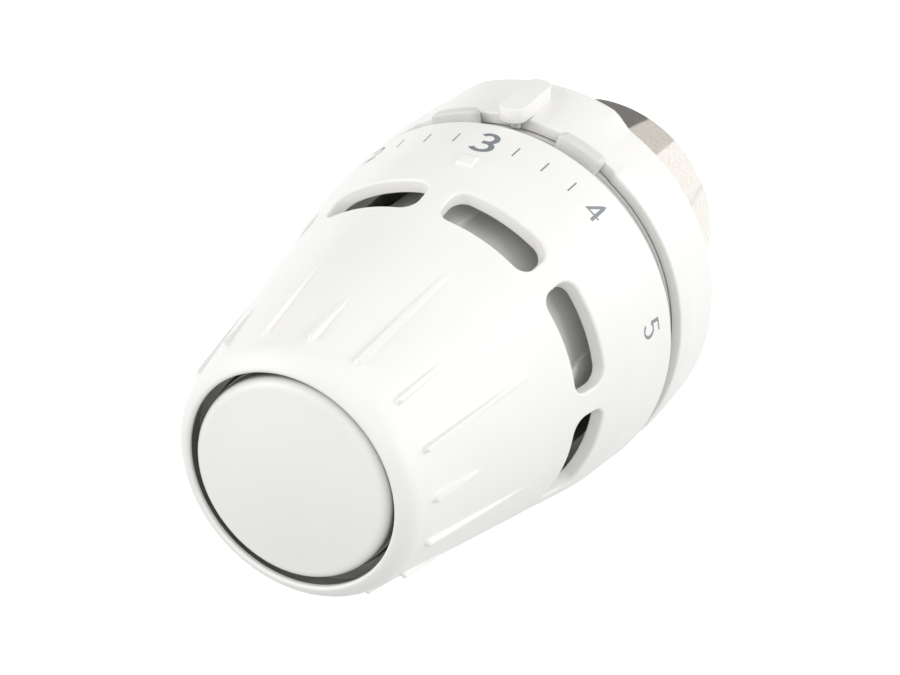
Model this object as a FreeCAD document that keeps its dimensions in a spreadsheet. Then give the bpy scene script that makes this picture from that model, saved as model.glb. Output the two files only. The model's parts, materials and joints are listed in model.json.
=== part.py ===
import FreeCAD, Part
import math
import os
import Sketcher
from FreeCAD import Placement, Rotation, Vector

# Thermostatic radiator valve head with a threaded union nut.
#
# Frame: millimetres, +Z up, axis of the head along Y. The origin is on the axis at the nut's
# mating face, and the nose of the setting handle points to -Y. The pointer is at the top, +Z.
#
# Every piece is drawn in its own local frame, in which local Z runs along the axis from the
# mating face to the nose ("station"), and local Y is up. The placement then turns local Z to
# global -Y. A revolved piece is a half section of (radius, station) points.

doc = FreeCAD.newDocument("radiator_thermostat")
sheet = doc.addObject("Spreadsheet::Sheet", "Sizes")


class Size:
    """A length, angle or count that carries its number and its spreadsheet expression."""

    def __init__(self, value, text):
        self.value = float(value)
        self.text = text

    def _join(self, other, sign, swap=False):
        other = other if isinstance(other, Size) else Size(other, repr(float(other)))
        left, right = (other, self) if swap else (self, other)
        values = {
            "+": lambda: left.value + right.value,
            "-": lambda: left.value - right.value,
            "*": lambda: left.value * right.value,
            "/": lambda: left.value / right.value,
        }
        return Size(values[sign](), f"({left.text} {sign} {right.text})")

    def __add__(self, other):
        return self._join(other, "+")

    def __radd__(self, other):
        return self._join(other, "+", swap=True)

    def __sub__(self, other):
        return self._join(other, "-")

    def __rsub__(self, other):
        return self._join(other, "-", swap=True)

    def __mul__(self, other):
        return self._join(other, "*")

    def __rmul__(self, other):
        return self._join(other, "*", swap=True)

    def __truediv__(self, other):
        return self._join(other, "/")

    def __rtruediv__(self, other):
        return self._join(other, "/", swap=True)

    def __neg__(self):
        return 0 - self


def root(size):
    """The square root of a size, for points on an arc."""
    return Size(math.sqrt(size.value), f"sqrt({size.text})")


sheet_rows = 0


def cell(alias, value):
    """Add one driving dimension to the sheet and return it as a Size."""
    global sheet_rows
    sheet_rows += 1
    sheet.set(f"A{sheet_rows}", alias)
    sheet.set(f"B{sheet_rows}", str(value))
    sheet.setAlias(f"B{sheet_rows}", alias)
    return Size(value, f"Sizes.{alias}")


# Shared fits
touch_gap = cell("touch_gap", 0.05)
run_gap = cell("run_gap", 0.1)
corner = cell("corner", 0.4)

# Union nut, M30 x 1.5
nut_radius = cell("nut_radius", 17.0)
nut_length = cell("nut_length", 14.0)
nut_thread_radius = cell("nut_thread_radius", 14.19)
nut_thread_length = cell("nut_thread_length", 6.9)
nut_relief_radius = cell("nut_relief_radius", 14.7)
nut_relief_end = cell("nut_relief_end", 8.6)
nut_shoulder_end = cell("nut_shoulder_end", 11.0)
nut_skirt_radius = cell("nut_skirt_radius", 14.7)
nut_chamfer = cell("nut_chamfer", 0.6)
clip_wire_radius = cell("clip_wire_radius", 0.55)
split_ring_sweep = cell("split_ring_sweep", 330)

# Base socket
spigot_face = cell("spigot_face", 7.0)
spigot_radius = cell("spigot_radius", 12.4)
spigot_bore = cell("spigot_bore", 8.5)
neck_step = cell("neck_step", 0.4)
neck_radius = cell("neck_radius", 16.9)
base_radius = cell("base_radius", 22.5)
base_rear = cell("base_rear", 20.4)
base_ring_front = cell("base_ring_front", 30.4)
barrel_radius = cell("barrel_radius", 20.85)
barrel_bore = cell("barrel_bore", 19.0)
barrel_front = cell("barrel_front", 38.5)
barrel_groove_radius = cell("barrel_groove_radius", 19.95)
floor_front = cell("floor_front", 21.6)
floor_rear = cell("floor_rear", 18.5)
hub_radius = cell("hub_radius", 7.0)
hub_rear = cell("hub_rear", 17.0)
hub_front = cell("hub_front", 23.6)
bush_radius = cell("bush_radius", 5.0)

# Collar cover
collar_front = cell("collar_front", 30.26)
collar_front_radius = cell("collar_front_radius", 24.1)
collar_radius = cell("collar_radius", 24.4)
collar_shoulder = cell("collar_shoulder", 20.9)
collar_wall = cell("collar_wall", 1.8)
collar_round = cell("collar_round", 1.7)
collar_mouth_radius = cell("collar_mouth_radius", 23.3)
collar_mouth_rear = cell("collar_mouth_rear", 29.0)
collar_lip_radius = cell("collar_lip_radius", 17.45)
collar_lip_rear = cell("collar_lip_rear", 14.0)
collar_lip_outer = cell("collar_lip_outer", 18.2)
collar_lip_front = cell("collar_lip_front", 14.7)
crown_radius = cell("crown_radius", 25.15)
crown_peak = cell("crown_peak", 21.7)
crown_sweep = cell("crown_sweep", 44)
notch_floor = cell("notch_floor", 29.6)
notch_sweep = cell("notch_sweep", 66)

# Pointer
pointer_width = cell("pointer_width", 3.0)
pointer_rear = cell("pointer_rear", 22.15)
pointer_front = cell("pointer_front", 32.75)
pointer_foot = cell("pointer_foot", 23.5)
pointer_under = cell("pointer_under", 24.5)
pointer_top = cell("pointer_top", 26.6)
pointer_fall = cell("pointer_fall", 0.8)
pointer_web = cell("pointer_web", 1.2)

# Limiter rings
limiter_bore = cell("limiter_bore", 20.95)
limiter_radius = cell("limiter_radius", 22.4)
limiter_thickness = cell("limiter_thickness", 1.0)
limiter_tab_radius = cell("limiter_tab_radius", 24.6)
limiter_tab_root = cell("limiter_tab_root", 22.6)
limiter_tab_rear = cell("limiter_tab_rear", 29.7)
limiter_tab_front = cell("limiter_tab_front", 32.1)
limiter_tab_sweep = cell("limiter_tab_sweep", 15)
min_limiter_angle = cell("min_limiter_angle", 18.5)
max_limiter_angle = cell("max_limiter_angle", 22.0)

# Setting handle
handle_rear = cell("handle_rear", 33.3)
handle_rear_radius = cell("handle_rear_radius", 24.0)
crease_station = cell("crease_station", 41.8)
crease_radius = cell("crease_radius", 22.9)
cone_taper = cell("cone_taper", 0.2336)
handle_wall = cell("handle_wall", 1.6)
lip_round = cell("lip_round", 3.0)
lip_centre = cell("lip_centre", 77.4)
mouth_radius = cell("mouth_radius", 12.3)
mouth_round = cell("mouth_round", 0.45)
bead_front = cell("bead_front", 36.0)
bead_relief = cell("bead_relief", 21.8)
drive_seat_rear = cell("drive_seat_rear", 53.0)
drive_seat_front = cell("drive_seat_front", 63.0)
drive_seat_radius = cell("drive_seat_radius", 15.95)
nose_bore_rear = cell("nose_bore_rear", 15.0)
nose_bore_front = cell("nose_bore_front", 13.4)
nose_bore_end = cell("nose_bore_end", 73.8)
ledge_radius = cell("ledge_radius", 11.9)
ledge_rear = cell("ledge_rear", 75.0)
ledge_front = cell("ledge_front", 76.5)
ring_pitch = cell("ring_pitch", 42.8)
vent_count = cell("vent_count", 8)
vent_rear = cell("vent_rear", 47.5)
vent_front = cell("vent_front", 52.9)
vent_width = cell("vent_width", 12.7)
vent_corner = cell("vent_corner", 1.9)
rib_width = cell("rib_width", 0.7)
rib_height = cell("rib_height", 0.45)
rib_tip = cell("rib_tip", 76.7)
long_rib_end = cell("long_rib_end", 59.5)
short_rib_end = cell("short_rib_end", 69.0)
mark_width = cell("mark_width", 2.05)
mark_length = cell("mark_length", 2.1)
mark_height = cell("mark_height", 0.45)

# End cap
cap_radius = cell("cap_radius", 11.6)
cap_top = cell("cap_top", 80.95)
cap_rim = cell("cap_rim", 80.1)
cap_round = cell("cap_round", 0.9)
cap_flange_radius = cell("cap_flange_radius", 12.15)
cap_flange_thickness = cell("cap_flange_thickness", 0.6)
cap_skin = cell("cap_skin", 1.6)
cap_flat = cell("cap_flat", 11.05)
cap_turn = cell("cap_turn", 48)
cap_leg_sweep = cell("cap_leg_sweep", 26)
cap_leg_inner = cell("cap_leg_inner", 10.3)
cap_leg_end = cell("cap_leg_end", 73.7)

# Guide sleeve, drive ring and carriage
sleeve_radius = cell("sleeve_radius", 17.3)
sleeve_wall = cell("sleeve_wall", 1.1)
sleeve_foot_radius = cell("sleeve_foot_radius", 18.9)
sleeve_foot_front = cell("sleeve_foot_front", 23.6)
sleeve_shoulder = cell("sleeve_shoulder", 52.0)
sleeve_neck_radius = cell("sleeve_neck_radius", 14.2)
sleeve_neck_bore = cell("sleeve_neck_bore", 13.1)
sleeve_front = cell("sleeve_front", 63.5)
sleeve_bar_radius = cell("sleeve_bar_radius", 18.1)
sleeve_bar_sweep = cell("sleeve_bar_sweep", 21)
sleeve_bar_count = cell("sleeve_bar_count", 4)
sleeve_bar_turn = cell("sleeve_bar_turn", 2.5)
drive_bore = cell("drive_bore", 14.35)
drive_lead = cell("drive_lead", 9.0)
drive_sweep = cell("drive_sweep", 205)
peg_radius = cell("peg_radius", 1.25)
peg_station = cell("peg_station", 58.6)
peg_reach = cell("peg_reach", 15.7)
open_angle = cell("open_angle", 75.6)
shut_angle = cell("shut_angle", 113.4)
carriage_radius = cell("carriage_radius", 12.9)
carriage_bore = cell("carriage_bore", 11.8)
carriage_rear = cell("carriage_rear", 37.0)
carriage_front = cell("carriage_front", 71.0)
carriage_flange = cell("carriage_flange", 1.4)
carriage_flange_bore = cell("carriage_flange_bore", 9.5)
retainer_rear = cell("retainer_rear", 69.0)
retainer_thickness = cell("retainer_thickness", 1.5)
retainer_radius = cell("retainer_radius", 12.25)
retainer_hole = cell("retainer_hole", 5.0)

# Sensor
can_radius = cell("can_radius", 11.6)
can_wall = cell("can_wall", 0.5)
can_rear = cell("can_rear", 40.0)
can_front = cell("can_front", 60.4)
can_round = cell("can_round", 1.2)
can_hub_radius = cell("can_hub_radius", 4.2)
can_hub_front = cell("can_hub_front", 43.0)
bellows_radius = cell("bellows_radius", 9.8)
bellows_root = cell("bellows_root", 7.9)
bellows_wall = cell("bellows_wall", 0.3)
bellows_front = cell("bellows_front", 54.4)
bellows_folds = 7
plate_thickness = cell("plate_thickness", 1.2)
fill_tube_radius = cell("fill_tube_radius", 1.1)
fill_tube_front = cell("fill_tube_front", 64.0)

# Push rod
rod_radius = cell("rod_radius", 2.5)
rod_bore = cell("rod_bore", 2.56)
rod_rear = cell("rod_rear", 10.05)
rod_clip_station = cell("rod_clip_station", 28.0)
rod_clip_thickness = cell("rod_clip_thickness", 0.7)
rod_groove_radius = cell("rod_groove_radius", 1.9)
rod_clip_radius = cell("rod_clip_radius", 4.2)
rod_clip_sweep = cell("rod_clip_sweep", 300)
foot_radius = cell("foot_radius", 4.5)
foot_rear = cell("foot_rear", 8.0)
foot_front = cell("foot_front", 12.2)

# Springs
overtravel_mean = cell("overtravel_mean", 10.2)
overtravel_wire = cell("overtravel_wire", 0.85)
overtravel_turns = cell("overtravel_turns", 2.5)
rod_spring_mean = cell("rod_spring_mean", 5.4)
rod_spring_wire = cell("rod_spring_wire", 0.6)
rod_spring_turns = cell("rod_spring_turns", 6)

doc.recompute()

ZERO = Size(0, "0")
UPRIGHT = Rotation(Vector(1, 0, 0), 90)
TOP = "YZ_Plane"
SIDE = "XZ_Plane"
CROSS = "XY_Plane"


def cone_radius(station):
    """Outer radius of the handle's cone at a station forward of the crease."""
    return crease_radius - cone_taper * (station - crease_station)


def new_body(label, turn=0.0):
    """A body stood on the head's axis, turned about it by an angle seen from the nose."""
    body = doc.addObject("PartDesign::Body", label)
    body.Label = label
    body.Placement = Placement(Vector(), UPRIGHT * Rotation(Vector(0, 0, 1), turn))
    return body


def new_sketch(body, role, turn=0.0, lift=None):
    """A sketch on one of the body's origin planes, turned about the axis or lifted off the plane."""
    planes = {feature.Role: feature for feature in body.Origin.OriginFeatures}
    sketch = body.newObject("Sketcher::SketchObject", f"{body.Label}_sketch")
    sketch.AttachmentSupport = [(planes[role], "")]
    sketch.MapMode = "FlatFace"
    sketch.AttachmentOffset = Placement(Vector(), Rotation(Vector(0, 1, 0), turn))
    if lift is not None:
        sketch.setExpression("AttachmentOffset.Base.z", lift.text)
    return sketch


def pin_vertex(sketch, geometry, end, x_size, y_size):
    """Hold one end of a sketch edge at sheet-driven coordinates."""
    for kind, size in (("DistanceX", x_size), ("DistanceY", y_size)):
        size = size if isinstance(size, Size) else Size(size, repr(float(size)))
        index = sketch.addConstraint(
            Sketcher.Constraint(kind, -1, 1, geometry, end, size.value)
        )
        sketch.setExpression(f"Constraints[{index}]", size.text)


def arc_middle(start, finish, radius, side):
    """Midpoint of the arc that bulges left (+1) or right (-1) of the way from start to finish."""
    chord = finish - start
    rise = radius - math.sqrt(radius**2 - (chord.Length / 2) ** 2)
    left = Vector(-chord.y, chord.x, 0)
    left.normalize()
    return (start + finish) * 0.5 + left * (rise * side)


def draw_loop(sketch, path):
    """Draw a closed loop. A point is (x, y), or (x, y, radius, side) where an arc leads on from it."""
    number = [
        Vector(*(p.value if isinstance(p, Size) else float(p) for p in point[:2]), 0)
        for point in path
    ]
    ends = []
    for index, point in enumerate(path):
        start, finish = number[index], number[(index + 1) % len(path)]
        if len(point) == 4:
            middle = arc_middle(start, finish, point[2].value, point[3])
            edge = sketch.addGeometry(Part.Arc(start, middle, finish), False)
            forward = sketch.getPoint(edge, 1).distanceToPoint(start) < 1e-6
            ends.append((edge, 1, 2) if forward else (edge, 2, 1))
            radius = sketch.addConstraint(
                Sketcher.Constraint("Radius", edge, point[2].value)
            )
            sketch.setExpression(f"Constraints[{radius}]", point[2].text)
        else:
            edge = sketch.addGeometry(Part.LineSegment(start, finish), False)
            ends.append((edge, 1, 2))
    for index, point in enumerate(path):
        edge, first, _ = ends[index]
        before, _, last = ends[index - 1]
        sketch.addConstraint(Sketcher.Constraint("Coincident", before, last, edge, first))
        pin_vertex(sketch, edge, first, point[0], point[1])


def draw_circle(sketch, x_size, y_size, radius):
    """Draw one sheet-driven circle."""
    centre = Vector(
        x_size.value if isinstance(x_size, Size) else x_size,
        y_size.value if isinstance(y_size, Size) else y_size,
        0,
    )
    edge = sketch.addGeometry(Part.Circle(centre, Vector(0, 0, 1), radius.value), False)
    pin_vertex(sketch, edge, 3, x_size, y_size)
    index = sketch.addConstraint(Sketcher.Constraint("Radius", edge, radius.value))
    sketch.setExpression(f"Constraints[{index}]", radius.text)


def rectangle(x_low, x_high, y_low, y_high):
    """Corner points of an upright rectangle."""
    return [(x_low, y_low), (x_high, y_low), (x_high, y_high), (x_low, y_high)]


def rounded_rectangle(half_width, y_low, y_high, radius):
    """Corner points and arcs of a rectangle that is centred on x = 0."""
    return [
        (radius - half_width, y_low),
        (half_width - radius, y_low, radius, -1),
        (half_width, y_low + radius),
        (half_width, y_high - radius, radius, -1),
        (half_width - radius, y_high),
        (radius - half_width, y_high, radius, -1),
        (-half_width, y_high - radius),
        (-half_width, y_low + radius, radius, -1),
    ]


def bind(feature, **sizes):
    """Bind feature properties to the sheet."""
    for name, size in sizes.items():
        feature.setExpression(name, size.text)


def turn_about(body, sketch, sweep=None, cut=False):
    """Turn a sketch about the axis, in full or as a centred sector."""
    kind = "Groove" if cut else "Revolution"
    feature = body.newObject(f"PartDesign::{kind}", f"{body.Label}_{kind.lower()}")
    feature.Profile = sketch
    feature.ReferenceAxis = (sketch, ["V_Axis"])
    feature.Angle = 360
    if sweep is not None:
        feature.Midplane = True
        bind(feature, Angle=sweep)
    body.Tip = feature
    return feature


def revolve(body, path, sweep=None, cut=False, role=SIDE, turn=0.0):
    """Turn a (radius, station) half section about the axis, in full or as a centred sector."""
    sketch = new_sketch(body, role, turn)
    draw_loop(sketch, path)
    return turn_about(body, sketch, sweep, cut)


def pad(body, sketch, length, symmetric=False, reverse=False):
    """Pad a sketch by a sheet-driven length."""
    feature = body.newObject("PartDesign::Pad", f"{body.Label}_pad")
    feature.Profile = sketch
    feature.Reversed = reverse
    if symmetric:
        feature.SideType = "Symmetric"
    bind(feature, Length=length)
    body.Tip = feature
    return feature


def pocket(body, sketch, length=None, symmetric=False, reverse=False):
    """Cut a sketch to a sheet-driven depth, or right through on both sides."""
    feature = body.newObject("PartDesign::Pocket", f"{body.Label}_pocket")
    feature.Profile = sketch
    feature.Reversed = reverse
    if symmetric:
        feature.SideType = "Symmetric"
    if length is None:
        feature.Type = "ThroughAll"
    else:
        bind(feature, Length=length)
    body.Tip = feature
    return feature


def around(body, feature, count, spread):
    """Repeat a feature about the axis, count times, with the last one at the spread angle."""
    pattern = body.newObject("PartDesign::PolarPattern", f"{body.Label}_ring")
    pattern.Originals = [feature]
    pattern.Axis = (feature.Profile[0], ["V_Axis"])
    bind(pattern, Angle=spread, Occurrences=count)
    body.Tip = pattern
    return pattern


def helix(body, sketch, pitch, height, cut=False, left_handed=False):
    """Sweep a sketch along a helix about the axis."""
    kind = "SubtractiveHelix" if cut else "AdditiveHelix"
    feature = body.newObject(f"PartDesign::{kind}", f"{body.Label}_helix")
    feature.Profile = sketch
    feature.ReferenceAxis = (sketch, ["V_Axis"])
    feature.Mode = "pitch-height-angle"
    feature.LeftHanded = left_handed
    bind(feature, Pitch=pitch, Height=height)
    body.Tip = feature
    return feature


def coil_spring(label, mean, wire, rear, front, turns):
    """A round-wire spring that fills the space between two faces."""
    body = new_body(label)
    sketch = new_sketch(body, SIDE)
    draw_circle(sketch, mean, rear + wire + touch_gap, wire)
    travel = front - rear - 2 * wire - 2 * touch_gap
    helix(body, sketch, travel / turns, travel)
    return body


# Union nut and its snap ring


def union_nut():
    body = new_body("union_nut")
    revolve(
        body,
        [
            (nut_thread_radius, ZERO),
            (nut_radius - nut_chamfer, ZERO),
            (nut_radius, nut_chamfer),
            (nut_radius, nut_length - nut_chamfer),
            (nut_radius - nut_chamfer, nut_length),
            (nut_skirt_radius, nut_length),
            (nut_skirt_radius, nut_shoulder_end),
            (spigot_radius + run_gap, nut_shoulder_end),
            (spigot_radius + run_gap, nut_relief_end),
            (nut_relief_radius, nut_relief_end),
            (nut_relief_radius, nut_thread_length),
            (nut_thread_radius, nut_thread_length),
        ],
    )
    return body


def nut_snap_ring():
    body = new_body("nut_snap_ring")
    sketch = new_sketch(body, SIDE)
    ring_station = nut_relief_end - run_gap - clip_wire_radius
    draw_circle(sketch, spigot_radius, ring_station, clip_wire_radius)
    turn_about(body, sketch, split_ring_sweep)
    return body


# Base socket and what is fixed to it


def base_socket():
    body = new_body("base_socket")
    groove_rear = nut_relief_end - run_gap - 2 * clip_wire_radius - touch_gap
    groove_front = nut_relief_end - touch_gap
    groove_radius = spigot_radius - clip_wire_radius - touch_gap
    neck_rear = nut_shoulder_end + run_gap
    collar_seat = nut_length + neck_step
    ring_rear = bead_front + touch_gap
    ring_front = ring_rear + limiter_thickness + run_gap
    revolve(
        body,
        [
            (spigot_bore, spigot_face),
            (spigot_radius, spigot_face),
            (spigot_radius, groove_rear),
            (groove_radius, groove_rear),
            (groove_radius, groove_front),
            (spigot_radius, groove_front),
            (spigot_radius, neck_rear),
            (nut_skirt_radius - 2 * run_gap, neck_rear),
            (nut_skirt_radius - 2 * run_gap, collar_seat),
            (neck_radius, collar_seat),
            (neck_radius, floor_rear - neck_step),
            (base_radius - collar_wall, base_rear),
            (base_radius, base_rear + neck_step),
            (base_radius, base_ring_front),
            (barrel_radius, base_ring_front),
            (barrel_radius, ring_rear),
            (barrel_groove_radius, ring_rear),
            (barrel_groove_radius, ring_front),
            (barrel_radius, ring_front),
            (barrel_radius, barrel_front - corner),
            (barrel_radius - corner, barrel_front),
            (barrel_bore, barrel_front),
            (barrel_bore, floor_front),
            (hub_radius, floor_front),
            (hub_radius, hub_front),
            (bush_radius, hub_front),
            (bush_radius, hub_rear),
            (hub_radius, hub_rear),
            (hub_radius, floor_rear),
            (spigot_bore, floor_rear),
        ],
    )
    return body


def collar_cover():
    body = new_body("collar_cover")
    wall_radius = collar_radius - collar_wall
    revolve(
        body,
        [
            (collar_mouth_radius, collar_front),
            (collar_front_radius - corner / 2, collar_front),
            (collar_front_radius, collar_front - corner / 2),
            (collar_radius, collar_front - 2 * collar_wall),
            (collar_radius, collar_shoulder, collar_round, -1),
            (collar_radius - collar_round * 0.65, collar_shoulder - collar_round),
            (collar_lip_outer, collar_lip_front),
            (collar_lip_outer - corner, collar_lip_rear),
            (collar_lip_radius, collar_lip_rear),
            (collar_lip_radius, collar_lip_front + collar_wall / 2),
            (wall_radius - collar_wall, base_rear - touch_gap),
            (wall_radius, base_rear + neck_step - touch_gap),
            (wall_radius, collar_mouth_rear),
            (collar_mouth_radius, collar_mouth_rear),
        ],
    )
    # The raised crown at the top carries the pointer.
    crown_foot = collar_radius - collar_wall / 2
    revolve(
        body,
        [
            (crown_foot, collar_front),
            (collar_radius, collar_front),
            (crown_radius, crown_peak, collar_round, -1),
            (crown_radius - corner, crown_peak - collar_round),
            (crown_foot - collar_wall / 2, collar_shoulder - collar_round),
        ],
        sweep=crown_sweep,
        role=TOP,
    )
    # The front edge is set back over the top, which leaves room for the limiter tabs.
    revolve(
        body,
        rectangle(
            wall_radius - corner,
            crown_radius + corner,
            notch_floor,
            collar_front + corner,
        ),
        sweep=notch_sweep,
        cut=True,
        role=TOP,
    )
    # The pointer's foot sits in a pocket of the crown.
    sketch = new_sketch(body, SIDE, lift=-pointer_foot)
    half_width = pointer_width / 2 + touch_gap
    draw_loop(
        sketch,
        rounded_rectangle(
            half_width,
            pointer_rear - touch_gap,
            notch_floor + half_width + corner,
            pointer_width / 2,
        ),
    )
    pocket(body, sketch, pointer_top - pointer_foot)
    return body


def pointer_tab():
    body = new_body("pointer_tab")
    half_width = pointer_width / 2
    side_round = half_width - touch_gap / 2
    sketch = new_sketch(body, SIDE, lift=-pointer_under)
    draw_loop(
        sketch, rounded_rectangle(half_width, pointer_rear, pointer_front, side_round)
    )
    pad(body, sketch, pointer_top - pointer_under, reverse=True)
    # The top falls gently toward the nose.
    sketch = new_sketch(body, TOP)
    draw_loop(
        sketch,
        [
            (pointer_top, pointer_rear),
            (pointer_top + corner, pointer_rear),
            (pointer_top + corner, pointer_front + corner),
            (pointer_top - pointer_fall, pointer_front + corner),
        ],
    )
    pocket(body, sketch, pointer_width * 2, symmetric=True)
    sketch = new_sketch(body, SIDE, lift=-pointer_foot)
    draw_loop(
        sketch,
        rounded_rectangle(half_width, pointer_rear, notch_floor, side_round),
    )
    pad(body, sketch, pointer_under - pointer_foot + touch_gap, reverse=True)
    # A thin web reaches down in front of the collar to the scale.
    sketch = new_sketch(body, TOP)
    draw_loop(
        sketch,
        rectangle(
            base_radius + 2 * run_gap,
            pointer_under + corner,
            notch_floor - corner,
            base_ring_front - 2 * run_gap,
        ),
    )
    pad(body, sketch, pointer_web, symmetric=True)
    cut = new_sketch(body, TOP)
    draw_loop(
        cut,
        rectangle(
            base_radius,
            pointer_foot,
            notch_floor - collar_wall,
            notch_floor + touch_gap / 2,
        ),
    )
    pocket(body, cut, pointer_web * 2, symmetric=True)
    return body


def limiter_ring(label, ring_rear, angle):
    """A ring round the base barrel, with one finger tab that stands out through the notch."""
    body = new_body(label, angle)
    revolve(
        body,
        rectangle(
            limiter_bore, limiter_radius, ring_rear, ring_rear + limiter_thickness
        ),
    )
    # The web joins the ring to the tab, and stops where the shorter of the two stops.
    web_front = min(ring_rear + limiter_thickness, limiter_tab_front, key=lambda end: end.value)
    revolve(
        body,
        rectangle(
            limiter_radius - corner, limiter_tab_root + corner, ring_rear, web_front
        ),
        sweep=limiter_tab_sweep,
        role=TOP,
    )
    edge = corner * 1.5
    revolve(
        body,
        [
            (limiter_tab_root, limiter_tab_rear),
            (limiter_tab_radius - edge, limiter_tab_rear, edge, -1),
            (limiter_tab_radius, limiter_tab_rear + edge),
            (limiter_tab_radius, limiter_tab_front - edge / 2, edge / 2, -1),
            (limiter_tab_radius - edge / 2, limiter_tab_front),
            (limiter_tab_root, limiter_tab_front),
        ],
        sweep=limiter_tab_sweep,
        role=TOP,
    )
    return body


def friction_washer():
    body = new_body("friction_washer")
    revolve(
        body,
        rectangle(
            limiter_bore,
            limiter_radius,
            handle_rear - limiter_thickness / 2 - touch_gap,
            handle_rear - touch_gap,
        ),
    )
    return body


def handle_snap_ring():
    body = new_body("handle_snap_ring")
    rear = bead_front + run_gap
    revolve(
        body,
        rectangle(
            barrel_groove_radius + touch_gap,
            bead_relief - corner,
            rear,
            rear + limiter_thickness,
        ),
        sweep=split_ring_sweep,
    )
    return body


def guide_sleeve():
    body = new_body("guide_sleeve")
    step = sleeve_shoulder + sleeve_wall
    revolve(
        body,
        [
            (sleeve_radius - sleeve_wall, floor_front + touch_gap),
            (sleeve_foot_radius, floor_front + touch_gap),
            (sleeve_foot_radius, sleeve_foot_front),
            (sleeve_radius, sleeve_foot_front),
            (sleeve_radius, sleeve_shoulder - corner),
            (sleeve_radius - corner, sleeve_shoulder),
            (sleeve_neck_radius, sleeve_shoulder),
            (sleeve_neck_radius, sleeve_front),
            (sleeve_neck_bore, sleeve_front),
            (sleeve_neck_bore, step - 2 * sleeve_wall),
            (sleeve_radius - sleeve_wall, step - 2 * sleeve_wall),
        ],
    )
    # Raised bars stiffen the sleeve and keep it clear of the turning handle.
    bar = revolve(
        body,
        rectangle(
            sleeve_radius - sleeve_wall / 2,
            sleeve_bar_radius,
            sleeve_foot_front,
            sleeve_shoulder - corner,
        ),
        sweep=sleeve_bar_sweep,
        role=TOP,
        turn=sleeve_bar_turn.value,
    )
    around(body, bar, sleeve_bar_count, 360 - 360 / sleeve_bar_count)
    # Two open slots in the neck guide the carriage pegs.
    sketch = new_sketch(body, SIDE)
    guide = peg_radius + run_gap
    rear = peg_station - drive_lead * shut_angle / 360 - 2 * peg_radius
    draw_loop(
        sketch,
        rectangle(-guide, guide, rear + peg_radius - run_gap, sleeve_front + corner),
    )
    pocket(body, sketch, symmetric=True)
    return body


# Setting handle, end cap and drive ring


def handle_section():
    """Half section of the handle: rear edge, cone, rolled lip, mouth, ledge and bore."""
    slant = root(1 + cone_taper * cone_taper)
    lip_radius_centre = cone_radius(lip_centre) - lip_round * slant
    lip_start_radius = lip_radius_centre + lip_round / slant
    lip_start_station = lip_centre + lip_round * cone_taper / slant
    mouth_edge = mouth_radius + mouth_round
    reach = mouth_edge - lip_radius_centre
    lip_end_station = lip_centre + root(lip_round * lip_round - reach * reach)
    return [
        (limiter_bore, handle_rear),
        (handle_rear_radius - corner, handle_rear, corner, -1),
        (handle_rear_radius, handle_rear + corner),
        (crease_radius, crease_station),
        (lip_start_radius, lip_start_station, lip_round, -1),
        (mouth_edge, lip_end_station, mouth_round, -1),
        (mouth_radius, lip_end_station - mouth_round),
        (mouth_radius, ledge_front),
        (ledge_radius, ledge_front),
        (ledge_radius, ledge_rear),
        (nose_bore_front, ledge_rear),
        (nose_bore_front, nose_bore_end),
        (nose_bore_rear, drive_seat_front),
        (drive_seat_radius, drive_seat_front),
        (drive_seat_radius, drive_seat_rear),
        (cone_radius(drive_seat_rear) - handle_wall, drive_seat_rear),
        (crease_radius - handle_wall, crease_station),
        (bead_relief, bead_front),
        (limiter_bore, bead_front),
    ]


def rib(body, end_station, count):
    """Raised ribs that stand up at the nose and fade into the cone."""
    first = -(count - 1) * ring_pitch / 2
    sketch = new_sketch(body, TOP, turn=first.value)
    draw_loop(
        sketch,
        [
            (cone_radius(end_station), end_station),
            (cone_radius(rib_tip) + rib_height, rib_tip),
            (cone_radius(rib_tip) - rib_height, rib_tip + corner),
            (cone_radius(end_station) - handle_wall / 2, end_station),
        ],
    )
    bar = pad(body, sketch, rib_width, symmetric=True)
    around(body, bar, count, (count - 1) * ring_pitch)


def setting_handle():
    body = new_body("setting_handle")
    revolve(body, handle_section())
    # Vents, set out on both sides of the pointer with a wider web at the bottom.
    first = -(vent_count - 1) * ring_pitch / 2
    sketch = new_sketch(body, SIDE, turn=180 + first.value)
    draw_loop(
        sketch, rounded_rectangle(vent_width / 2, vent_rear, vent_front, vent_corner)
    )
    vent = pocket(body, sketch, handle_rear_radius + corner)
    around(body, vent, vent_count, (vent_count - 1) * ring_pitch)
    rib(body, long_rib_end, vent_count)
    rib(body, short_rib_end, vent_count + 1)
    # The raised mark at the scale's middle number.
    sketch = new_sketch(body, TOP)
    mark_front = crease_station + mark_length
    draw_loop(
        sketch,
        [
            (crease_radius - handle_wall / 2, crease_station - corner),
            (crease_radius + mark_height, crease_station - corner),
            (cone_radius(mark_front) + mark_height, mark_front - corner),
            (cone_radius(mark_front), mark_front),
            (cone_radius(mark_front) - handle_wall / 2, mark_front),
        ],
    )
    pad(body, sketch, mark_width, symmetric=True)
    return body


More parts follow.
